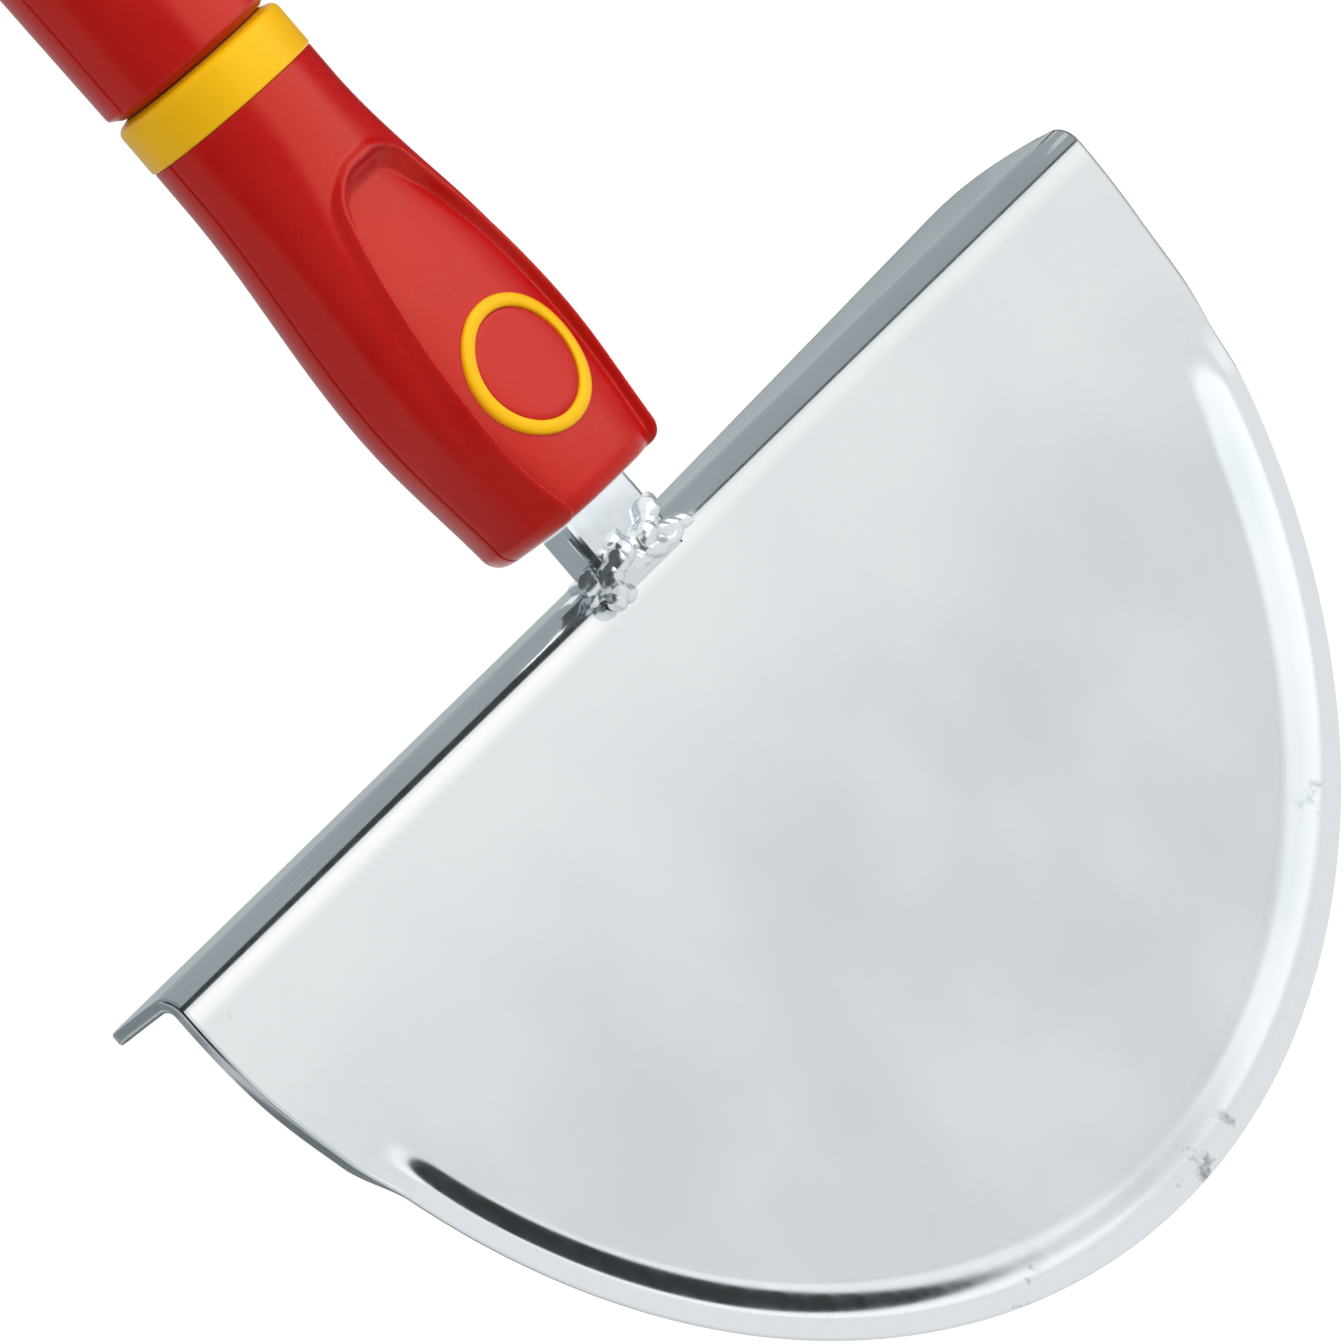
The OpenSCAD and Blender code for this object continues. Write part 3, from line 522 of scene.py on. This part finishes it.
def build_shell(name, front, node):
    """One half of the grip and its part of the neck inside the collar"""
    count, levels = (290, 270) if front else (150, 110)
    brim = GRIP_TOP - JOINT_GAP
    heights = [GRIP_FROM + GRIP_END_R * (1 - math.cos(math.pi / 2 * k / 9)) for k in range(9)]
    heights += spread(GRIP_FROM + GRIP_END_R, brim - 0.5, levels) + [brim - 0.2, brim]
    points = []
    rows = [lay(points, shell_row(h, front, count, h == heights[-1])) for h in heights]
    for h in (GRIP_TOP, COLLAR_TOP):
        neck = []
        for (x, y), _ in grip_outline(brim, front, count):
            r = math.hypot(x, y)
            neck.append((x * NECK_R / r, y * NECK_R / r if abs(y - SEAM_Y) > 1e-6 else SEAM_Y, ARC_Z + h))
        rows.append(lay(points, neck))
    faces = strips(rows, wrap=True) + [tuple(rows[0]), tuple(reversed(rows[-1]))]
    piece(name, points, faces, "head", [node], red_plastic, 34)


def badge_row(r, lift, turns):
    """A circle on the panel's floor round the badge's middle, lifted off it"""
    made = []
    for q in turns:
        x, h = r * math.cos(q), BADGE_H + r * math.sin(q)
        made.append((x, front_face(x, h) + PANEL_IN - lift, ARC_Z + h))
    return made


def build_badge():
    """The yellow ring let into the thumb panel and the plain red disc inside it"""
    turns = spread(0, 2 * math.pi, 128)[:-1]
    low, high = BADGE_R - BADGE_BAND + BADGE_FIT, BADGE_R
    profile = [(low, BADGE_FOOT), (low, 0.3), (low + 0.08, 0.5), (low + 0.3, 0.66)]
    profile += [(low + 0.3 + (high - low - 0.6) * k / 4, 0.66 + 0.12 * math.sin(math.pi * k / 4))
                for k in range(1, 4)]
    profile += [(high - 0.3, 0.66), (high - 0.08, 0.5), (high, 0.3), (high, BADGE_FOOT)]
    points = []
    rows = [lay(points, badge_row(r, lift, turns)) for r, lift in profile]
    faces = strips(rows + rows[:1], wrap=True)
    piece("badge_hoop", points, faces, "head", ["badge_ring"], yellow_plastic)
    edge = low - BADGE_FIT
    profile = [(edge * k / 8, 0.3) for k in range(1, 8)]
    profile += [(edge - 0.35, 0.29), (edge - 0.1, 0.2), (edge, 0.02), (edge, BADGE_FOOT)]
    points = badge_row(0, 0.3, [0])
    rows = [lay(points, badge_row(r, lift, turns)) for r, lift in profile]
    faces = [(0, a, b) for a, b in zip(rows[0], rows[0][1:] + rows[0][:1])]
    faces += strips(rows, wrap=True) + [tuple(rows[-1])]
    piece("badge_field", points, faces, "head", ["badge_disc"], red_disc)


def bend(r, z, radius, a, b):
    """A rounded corner in a turned profile, from one angle to another in degrees"""
    turns = [math.radians(t) for t in spread(a, b, 6)]
    return [(r + radius * math.cos(t), z + radius * math.sin(t)) for t in turns]


def turned(name, profile, base, body, node, finish, parted=0.0):
    """A ring turned from a closed profile, with a fine parting line down both sides if it has one"""
    seam = math.asin(SEAM_Y / SLEEVE_R)
    turns = spread(0, 2 * math.pi, 180)[:-1]
    if parted:
        for line in (seam, math.pi - seam):
            turns = [t for t in turns if abs(t - line) > 0.03] + spread(line - 0.03, line + 0.03, 10)
        turns.sort()
    points, rows = [], []
    for r, z in profile:
        row = []
        for q in turns:
            near = min(abs(q - seam), abs(q - math.pi + seam)) * r
            cut = parted * max(0.0, 1 - near / PARTING_W) if r > SLEEVE_R - 0.9 else 0.0
            row.append(((r - cut) * math.cos(q), (r - cut) * math.sin(q), ARC_Z + base + z))
        rows.append(lay(points, row))
    piece(name, points, strips(rows + rows[:1], wrap=True), body, [node], finish, 40)


def build_collar():
    """The yellow ring round the neck, its top rising a little to the inside"""
    bore, high = NECK_R + RING_FIT, COLLAR_TOP - GRIP_TOP
    profile = [(bore, 0.0)] + bend(COLLAR_R - 0.4, 0.4, 0.4, -90, 0)
    profile += bend(COLLAR_R - 1.3, high - 1.35, 1.3, 0, 82) + [(bore, high + 0.3)]
    turned("collar_band", profile, GRIP_TOP, "head", "collar_ring", yellow_plastic)


def build_buffer():
    """The rubber ring that the sleeve comes to rest on"""
    bore, thick, corner = TUBE_R + 0.1, SLEEVE_FROM - COLLAR_TOP, 0.3
    profile = [(bore, 0.0)] + bend(BUFFER_R - corner, corner, corner, -90, 0)
    profile += bend(BUFFER_R - corner, thick - corner, corner, 0, 90) + [(bore, thick)]
    turned("rubber_buffer", profile, COLLAR_TOP, "head", "buffer_ring", red_rubber)


def build_sleeve():
    """The sliding sleeve: a cone for the balls below, the land that carries the spring, and the
    spring's room above"""
    low, top = BALL_H - CONE_UNDER, BALL_H + CONE_OVER
    land, flare = top + LAND_T, SLEEVE_LEN - FLARE_DOWN
    middle = BALL_OFF + (BALL_R + RAMP_GAP) * math.sqrt(1 + RAMP * RAMP)
    cone_low, cone_top = middle - RAMP * (low - BALL_H), middle - RAMP * (top - BALL_H)
    # Its lower lip is bevelled outside and stops just above the collar
    outside = [(LIP_R, -SLEEVE_LIP)] + bend(SLEEVE_R - SLEEVE_ROUND, SLEEVE_ROUND, SLEEVE_ROUND, -50, 0)
    outside += [(SLEEVE_R + (SLEEVE_WIDE - SLEEVE_R) * t, SLEEVE_ROUND + (flare - SLEEVE_ROUND) * t)
                for t in spread(0, 1, 6)[1:]]
    outside += [(SLEEVE_WIDE + (SLEEVE_RIM - SLEEVE_WIDE) * ease(0, 1, t), flare + FLARE_LEN * t)
                for t in spread(0, 1, 10)[1:]]
    outside += bend(SLEEVE_RIM - RIM_ROUND, SLEEVE_LEN - RIM_ROUND, RIM_ROUND, 0, 90)
    inside = [(CHAMBER_R, SLEEVE_LEN), (CHAMBER_R, land), (TUBE_R + GUIDE_FIT, land), (TUBE_R + GUIDE_FIT, top),
              (cone_top, top), (cone_low, low), (cone_low, -SLEEVE_LIP)]
    turned("pull_sleeve", outside + inside, SLEEVE_FROM, "sleeve", "release_sleeve",
           red_plastic, PARTING_DEEP)


def build_weld(name, lumps, voxel, rough, node):
    """Weld metal run together from lumps: place, half length, half width, half depth, and the
    way it runs across the front in degrees; then pitted and rippled as it froze"""
    form = bmesh.new()
    for x, y, h, long, wide, deep, way in lumps:
        turn = Matrix.Rotation(math.radians(-way), 3, "Y")
        for v in bmesh.ops.create_icosphere(form, subdivisions=4, radius=1.0)["verts"]:
            shaped = turn @ Vector((v.co.x * long, v.co.y * deep, v.co.z * wide))
            v.co = (Vector((x, y, ARC_Z + h)) + shaped) * MM
    blob = bpy.data.meshes.new(name + "_lumps")
    form.to_mesh(blob)
    form.free()
    loose = bpy.data.objects.new(name + "_lumps", blob)
    bpy.context.collection.objects.link(loose)
    skin = loose.modifiers.new("skin", "REMESH")
    skin.mode, skin.voxel_size = "VOXEL", voxel * MM
    melt = loose.modifiers.new("melt", "SMOOTH")
    melt.factor, melt.iterations = 0.5, 40
    run = bpy.data.meshes.new_from_object(loose.evaluated_get(bpy.context.evaluated_depsgraph_get()))
    bpy.data.objects.remove(loose)
    points = []
    for v in run.vertices:
        at = v.co / MM
        # Slow ripples, cut off at their tops, and fine pits over them
        ripple = Vector((at.x * 0.24 + at.z * 0.17, at.y * 0.16, at.z * 0.11 - at.x * 0.08))
        billow = min(0.36, abs(noise.noise(ripple)))
        frozen = noise.fractal(at * 0.5, 0.9, 2.1, 3) * 0.3 + 5 * billow - 0.7
        points.append(at + v.normal * frozen * rough)
    faces = [tuple(f.vertices) for f in run.polygons]
    bpy.data.meshes.remove(run)
    piece(name, points, faces, "head", [node], plated_weld, 75)


def build_welds():
    """The blob across the front of the fold, and the thin bead round the back of the tang"""
    # A low run of metal fills the corner, and the lumps stand on it
    front = [(-0.5, -2.8, 1.2, 9.9, 1.9, 1.9, 0), (0.2, -3.6, 3.2, 7.2, 2.2, 1.7, 4),
             (-5.0, -4.9, 3.0, 3.9, 1.9, 1.9, 14), (-7.9, -4.4, 0.8, 2.8, 1.75, 1.8, 80),
             (-7.0, -3.7, -0.9, 2.5, 1.5, 1.5, -10), (-10.2, -3.2, 2.9, 2.4, 1.4, 1.6, 55),
             (4.0, -5.0, 4.4, 4.3, 1.75, 1.8, 35), (6.9, -4.3, 1.7, 4.4, 1.5, 1.7, -17),
             (-2.0, -4.1, 5.6, 2.6, 1.3, 1.1, 20), (-5.4, -3.9, 5.0, 2.0, 1.2, 1.1, 10),
             (1.4, -4.1, 1.1, 4.0, 1.6, 1.5, -12), (6.3, -4.0, 0.8, 3.6, 1.5, 1.6, -8)]
    build_weld("front_weld_blob", front, 0.12, 0.34, "front_weld")
    side, behind, low = 7.75, 1.4, FOLD_R - 0.2
    rear = [(s * side, y, low + 0.25 * math.sin(3 * y + s), 1.3, 1.25, 1.1, 0)
            for s in (-1, 1) for y in spread(0.6, behind, 2)]
    rear += [(x, behind, low + 0.2 * math.sin(2.3 * x), 1.3, 1.3, 1.25, 0) for x in spread(-side, side, 13)]
    build_weld("rear_weld_bead", rear, 0.15, 0.2, "rear_weld")


build_blade()
build_shell("grip_front_half", True, "grip_front_shell")
build_shell("grip_rear_half", False, "grip_rear_shell")
build_badge()
build_collar()
build_buffer()
build_sleeve()
build_welds()

for finish, nodes in ((plated_bar, ["tang"]), (tube_steel, ["socket_tube"]),
                      (fastener_steel, ["tang_rivet", "upper_screw", "lower_screw", "spring_washer"]),
                      (spring_steel, ["sleeve_spring", "retaining_ring"]),
                      (ball_steel, ["lock_ball_1", "lock_ball_2", "lock_ball_3"])):
    for node in nodes:
        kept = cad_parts[node]
        kept.data.materials.clear()
        kept.data.materials.append(finish)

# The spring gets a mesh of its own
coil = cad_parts["sleeve_spring"]
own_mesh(coil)


# Studio

FLOOR_GLOW, FLOOR_DROP, FLOOR_HALF = 0.45, 0.12, 40
# The camera's distance in metres, its lens, and where it aims beside the arc's centre in millimetres
EYE_FAR, LENS, AIM_RIGHT, AIM_DOWN = 4.0, 798.2, 3.12, 14.66


def stage_mesh(name, points, faces, finish):
    """A plain mesh of the studio, not of the object"""
    mesh = bpy.data.meshes.new(name)
    mesh.from_pydata(points, [], faces)
    mesh.materials.append(finish)
    made = bpy.data.objects.new(name, mesh)
    bpy.context.collection.objects.link(made)
    return made


def bare(owner):
    """The emptied node tree of a material or world"""
    owner.use_nodes = True
    owner.node_tree.nodes.clear()
    return owner.node_tree


def seen_straight(tree):
    """1 for what the eye sees directly, in a shine or through glass, and 0 for scattered light"""
    ray = add(tree, "ShaderNodeLightPath").outputs
    seen = reckon(tree, "ADD", ray["Is Camera Ray"], ray["Is Glossy Ray"])
    return reckon(tree, "ADD", seen, ray["Is Transmission Ray"], use_clamp=True)


def build_floor():
    """White sweep that shows white to the eye and to the metal, and still takes the shadow"""
    material = bpy.data.materials.new("white_floor_paint")
    tree = bare(material)
    glow = reckon(tree, "MULTIPLY", seen_straight(tree), FLOOR_GLOW)
    matt = add(tree, "ShaderNodeBsdfDiffuse", {"Color": (0.7, 0.7, 0.7, 1)})
    lit = add(tree, "ShaderNodeEmission", {"Color": (1, 1, 1, 1), "Strength": glow})
    both = add(tree, "ShaderNodeAddShader", {0: matt.outputs["BSDF"], 1: lit.outputs["Emission"]})
    add(tree, "ShaderNodeOutputMaterial", {"Surface": both.outputs["Shader"]})
    corners = [(x * FLOOR_HALF, y * FLOOR_HALF, cad_low.z - FLOOR_DROP)
               for x, y in ((-1, -1), (1, -1), (1, 1), (-1, 1))]
    stage_mesh("floor", corners, [(0, 1, 2, 3)], material)


def build_card(name, points, columns, low, high, soft):
    """A studio card that only the shiny parts see: its light runs from its lower to its upper
    edge, and its borders fade out over a share of its width; grey cloth is a little blue"""
    hue = (1, 1, 1, 1) if low > 1 else paint("#f0fafe")
    material = bpy.data.materials.new(name + "_cloth")
    tree = bare(material)
    place = add(tree, "ShaderNodeTexCoord").outputs["UV"]
    axes = add(tree, "ShaderNodeSeparateXYZ", {"Vector": place})
    light = ramp(tree, axes.outputs["Y"], 0.0, 1.0, low, high)
    fades = []
    for axis, fading in zip("XY", soft):
        away = reckon(tree, "ABSOLUTE", reckon(tree, "SUBTRACT", axes.outputs[axis], 0.5))
        fades.append(ramp(tree, away, 0.5 - fading, 0.5, 1.0, 0.0, True))
    cover = reckon(tree, "MULTIPLY", *fades)
    clear = add(tree, "ShaderNodeBsdfTransparent")
    cloth = add(tree, "ShaderNodeEmission", {"Color": hue, "Strength": light})
    both = add(tree, "ShaderNodeMixShader", {0: cover, 1: clear.outputs["BSDF"], 2: cloth.outputs["Emission"]})
    add(tree, "ShaderNodeOutputMaterial", {"Surface": both.outputs["Shader"]})
    rows = [list(range(k, k + columns)) for k in range(0, len(points), columns)]
    card = stage_mesh(name, points, strips(rows), material)
    spots = card.data.uv_layers.new(name="UVMap").data
    for loop in card.data.loops:
        row, column = divmod(loop.vertex_index, columns)
        spots[loop.index].uv = (column / (columns - 1), row / (len(rows) - 1))
    card.visible_camera = card.visible_diffuse = card.visible_shadow = card.visible_transmission = False


def round_card(name, turn, rise, far, low, high, soft):
    """A card bent round the object, from one turn and rise in degrees to another"""
    points = []
    for e in spread(math.radians(rise[0]), math.radians(rise[1]), 12):
        out, level = far * math.cos(e), ARC_Z * MM + far * math.sin(e)
        points += [(out * math.cos(a), out * math.sin(a), level)
                   for a in spread(math.radians(turn[0]), math.radians(turn[1]), 30)]
    build_card(name, points, 31, low, high, soft)


def fold_card(name, reach, edges, light, soft):
    """A small card near the fold, in millimetres from its middle: how far it goes across, and the
    depth and height of its two long edges"""
    points = [Vector((x, y, ARC_Z + z)) * MM for y, z in edges for x in reach]
    build_card(name, points, 2, light, light, soft)


def build_lamp(name, towards, strength, wide):
    """A broad lamp for the plastics; the metal doesn't see it"""
    lamp = bpy.data.lights.new(name, "SUN")
    lamp.energy = strength
    lamp.angle = math.radians(wide)
    made = bpy.data.objects.new(name, lamp)
    made.rotation_mode = "QUATERNION"
    made.visible_glossy = False
    made.rotation_quaternion = Vector(towards).normalized().to_track_quat("Z", "Y")
    bpy.context.collection.objects.link(made)


def build_room():
    """White all round to the eye and in the metal, half as bright as a light on the object"""
    world = bpy.data.worlds.new("white_room")
    bpy.context.scene.world = world
    tree = bare(world)
    soft = add(tree, "ShaderNodeBackground", {"Color": (1, 1, 1, 1), "Strength": 0.5})
    white = add(tree, "ShaderNodeBackground", {"Color": (1, 1, 1, 1), "Strength": 1.0})
    room = add(tree, "ShaderNodeMixShader", {0: seen_straight(tree), 1: soft.outputs["Background"],
                                             2: white.outputs["Background"]})
    add(tree, "ShaderNodeOutputWorld", {"Surface": room.outputs["Shader"]})


def build_camera():
    """A long lens from far off, rolled so that the grip runs to the upper left"""
    back, right = Vector((-0.668, -0.740, 0.0756)).normalized(), Vector((0.531, -0.546, -0.648))
    right = (right - back * right.dot(back)).normalized()
    up = back.cross(right)
    arc_centre = Vector((0, FACE_Y - RIM_STEP, ARC_Z)) * MM
    aim = arc_centre + (right * AIM_RIGHT - up * AIM_DOWN) * MM
    camera = bpy.data.cameras.new("camera")
    camera.lens = LENS
    camera.sensor_width = 36
    camera.clip_end = 100
    eye = bpy.data.objects.new("camera", camera)
    eye.matrix_world = Matrix.Translation(aim + back * EYE_FAR) @ Matrix((right, up, back)).transposed().to_4x4()
    bpy.context.collection.objects.link(eye)
    bpy.context.scene.camera = eye
    bpy.context.scene.view_settings.view_transform = "Standard"


build_floor()
round_card("slope_flag", (-29, 37), (-8, 38), 1.5, 0.05, 0.05, (0.07, 0.07))
round_card("ceiling_cloth", (-28, 64), (38, 78), 1.6, 0.5, 0.5, (0.1, 0.1))
round_card("back_cloth", (34, 146), (-20, 36), 1.6, 0.52, 0.58, (0.06, 0.06))
round_card("camera_side_flag", (-205, -113), (-32, 62), 1.2, 0.04, 0.04, (0.04, 0.04))
round_card("slope_softbox", (-118, -54), (-9, 57), 2.0, 1.42, 1.42, (0.26, 0.15))
round_card("slope_softbox_high", (-80, -44), (12, 52), 1.9, 1.35, 1.35, (0.2, 0.25))
round_card("slope_strip", (-45, -27), (-4, 23), 1.6, 1.3, 1.3, (0.3, 0.2))
# A softbox bent round the grip alone, fading out below so that the blade's top only brightens
build_card("grip_softbox", [(0.1 * math.cos(math.radians(a)), 0.1 * math.sin(math.radians(a)), ARC_Z * MM + z)
                            for z in (0.002, 0.14) for a in spread(-115, -39, 30)], 31, 3.1, 3.1, (0.08, 0.08))
# Cards close to the fold, low enough that the grip looks out over them; the left flag is tallest at the weld
build_card("fold_flag_left", [Vector((x, -12.5, ARC_Z + z)) * MM
                              for x, z in ((-125, 0.4), (-2, 0.4), (-125, 5.2), (-2, 8.8))],
           2, 0.05, 0.05, (0.01, 0.06))
fold_card("fold_cloth_left", (-130, -13.5), ((-13.5, 3.2), (-13.5, 11.2)), 0.5, (0.03, 0.03))
fold_card("fold_flag_right", (21, 125), ((-12.5, 0.4), (-12.5, 2.7)), 0.12, (0.03, 0.12))
fold_card("fold_cloth_right", (21, 140), ((-13.5, 2.4), (-13.5, 11.2)), 0.5, (0.03, 0.03))
fold_card("weld_awning", (-12, -3), ((-12.5, 5.1), (-5.5, 5.1)), 0.12, (0.02, 0.02))
fold_card("corner_flag", (-13.5, -7.9), ((-6, 5.1), (-1.2, 5.1)), 0.12, (0.02, 0.02))
fold_card("fold_awning_left", (-125, -8.8), ((-13.5, 10.8), (-4.5, 9.4)), 0.5, (0.01, 0.01))
fold_card("fold_awning_right", (21, 140), ((-13.5, 10.8), (-8.5, 9.4)), 0.5, (0.01, 0.01))
for hand, sign, front in (("left", -1, -6), ("right", 1, -9.5)):
    for name, near, far, over in (("tread_cloth_", 8.5, 118, 9.5), ("weld_cloth_", 9.5, 26, 5.5)):
        fold_card(name + hand, (sign * near, sign * far), ((front, over), (30, over)), 0.52, (0.03, 0.03))
fold_card("grip_end_cloth", (-18, 18), ((-16, GRIP_FROM - 0.6), (16, GRIP_FROM - 0.6)), 1.2, (0.05, 0.05))
build_card("floor_flag", [(x, y, cad_low.z + 0.001) for y in (0.02, 0.5) for x in (-0.4, 0.2)],
           2, 0.38, 0.38, (0.1, 0.1))
build_lamp("key_lamp", (0.35, -0.85, 0.4), 1.9, 50)
build_lamp("fill_lamp", (-0.85, -0.4, 0.35), 0.75, 60)
build_room()
build_camera()
